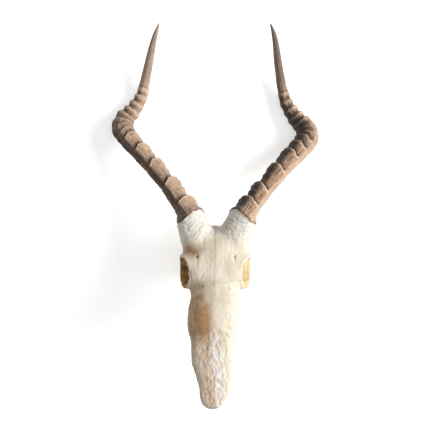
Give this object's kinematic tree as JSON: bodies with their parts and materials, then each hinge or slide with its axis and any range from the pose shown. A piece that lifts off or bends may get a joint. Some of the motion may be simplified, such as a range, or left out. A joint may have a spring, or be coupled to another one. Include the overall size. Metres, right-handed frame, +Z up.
{
  "type": "impala skull with horns",
  "caption": "Bleached impala skull without its lower jaw, with both ringed lyre-shaped horns, lying on its back as a display piece.",
  "frame": {"origin": "middle of the bounding box's footprint, on the surface that the skull lies on", "axes": "+Y from the nose towards the horn tips, +X to the right when the face is looked down on with the horns at the top, +Z up, out of the forehead"},
  "size_m": [0.3234, 0.536, 0.2211],
  "materials": {
    "bone": "matte, dry, bleached",
    "horn": "satin, striated",
    "enamel": "glossy, stained"
  },
  "bodies": {
    "root": {"skull": "bone", "left_horn": "horn", "right_horn": "horn", "left_tooth_1": "enamel", "left_tooth_2": "enamel", "left_tooth_3": "enamel", "left_tooth_4": "enamel", "left_tooth_5": "enamel", "left_tooth_6": "enamel", "right_tooth_1": "enamel", "right_tooth_2": "enamel", "right_tooth_3": "enamel", "right_tooth_4": "enamel", "right_tooth_5": "enamel", "right_tooth_6": "enamel"}
  },
  "joints": []
}
